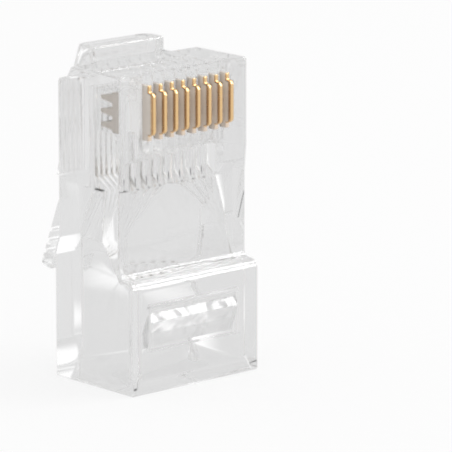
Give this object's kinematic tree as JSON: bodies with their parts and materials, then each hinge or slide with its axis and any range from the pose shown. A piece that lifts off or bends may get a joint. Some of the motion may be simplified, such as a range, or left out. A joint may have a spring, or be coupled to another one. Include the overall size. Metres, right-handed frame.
{
  "type": "rj45 modular plug",
  "caption": "Clear eight-way modular plug for twisted-pair network cable, uncrimped, with gold-edged blade contacts, a sprung latch and a strain relief bar.",
  "frame": {"origin": "centre of the cable end, on the face that the plug stands on", "axes": "+Z from the cable end to the nose, +X across the width, contacts face -Y, latch on +Y"},
  "size_m": [0.0116, 0.0147, 0.0232],
  "materials": {
    "clear_plastic": "clear moulded polycarbonate, polished",
    "contact_metal": "gold-plated phosphor bronze"
  },
  "bodies": {
    "housing": {"housing": "clear_plastic"},
    "latch": {"latch_tab": "clear_plastic"},
    "strain_relief": {"strain_relief_bar": "clear_plastic"},
    "contact_1": {"contact_1": "contact_metal"},
    "contact_2": {"contact_2": "contact_metal"},
    "contact_3": {"contact_3": "contact_metal"},
    "contact_4": {"contact_4": "contact_metal"},
    "contact_5": {"contact_5": "contact_metal"},
    "contact_6": {"contact_6": "contact_metal"},
    "contact_7": {"contact_7": "contact_metal"},
    "contact_8": {"contact_8": "contact_metal"}
  },
  "joints": [
    {"name": "latch_hinge", "type": "hinge", "parent": "housing", "child": "latch", "pos_m": [0, 0.0057, 0.01703], "axis": [-1, 0, 0], "range_deg": [0, 25], "stiffness_Nm_per_rad": 0.15},
    {"name": "strain_relief_hinge", "type": "hinge", "parent": "housing", "child": "strain_relief", "pos_m": [0, -0.00355, 0.00598], "axis": [1, 0, 0], "range_deg": [0, 30]},
    {"name": "contact_1_crimp", "type": "slide", "parent": "housing", "child": "contact_1", "axis": [0, 1, 0], "range_m": [0, 0.0012]},
    {"name": "contact_2_crimp", "type": "slide", "parent": "housing", "child": "contact_2", "axis": [0, 1, 0], "range_m": [0, 0.0012]},
    {"name": "contact_3_crimp", "type": "slide", "parent": "housing", "child": "contact_3", "axis": [0, 1, 0], "range_m": [0, 0.0012]},
    {"name": "contact_4_crimp", "type": "slide", "parent": "housing", "child": "contact_4", "axis": [0, 1, 0], "range_m": [0, 0.0012]},
    {"name": "contact_5_crimp", "type": "slide", "parent": "housing", "child": "contact_5", "axis": [0, 1, 0], "range_m": [0, 0.0012]},
    {"name": "contact_6_crimp", "type": "slide", "parent": "housing", "child": "contact_6", "axis": [0, 1, 0], "range_m": [0, 0.0012]},
    {"name": "contact_7_crimp", "type": "slide", "parent": "housing", "child": "contact_7", "axis": [0, 1, 0], "range_m": [0, 0.0012]},
    {"name": "contact_8_crimp", "type": "slide", "parent": "housing", "child": "contact_8", "axis": [0, 1, 0], "range_m": [0, 0.0012]}
  ],
  "couplings": [
    {"joint": "contact_2_crimp", "follows": "contact_1_crimp", "ratio": 1},
    {"joint": "contact_3_crimp", "follows": "contact_1_crimp", "ratio": 1},
    {"joint": "contact_4_crimp", "follows": "contact_1_crimp", "ratio": 1},
    {"joint": "contact_5_crimp", "follows": "contact_1_crimp", "ratio": 1},
    {"joint": "contact_6_crimp", "follows": "contact_1_crimp", "ratio": 1},
    {"joint": "contact_7_crimp", "follows": "contact_1_crimp", "ratio": 1},
    {"joint": "contact_8_crimp", "follows": "contact_1_crimp", "ratio": 1}
  ]
}
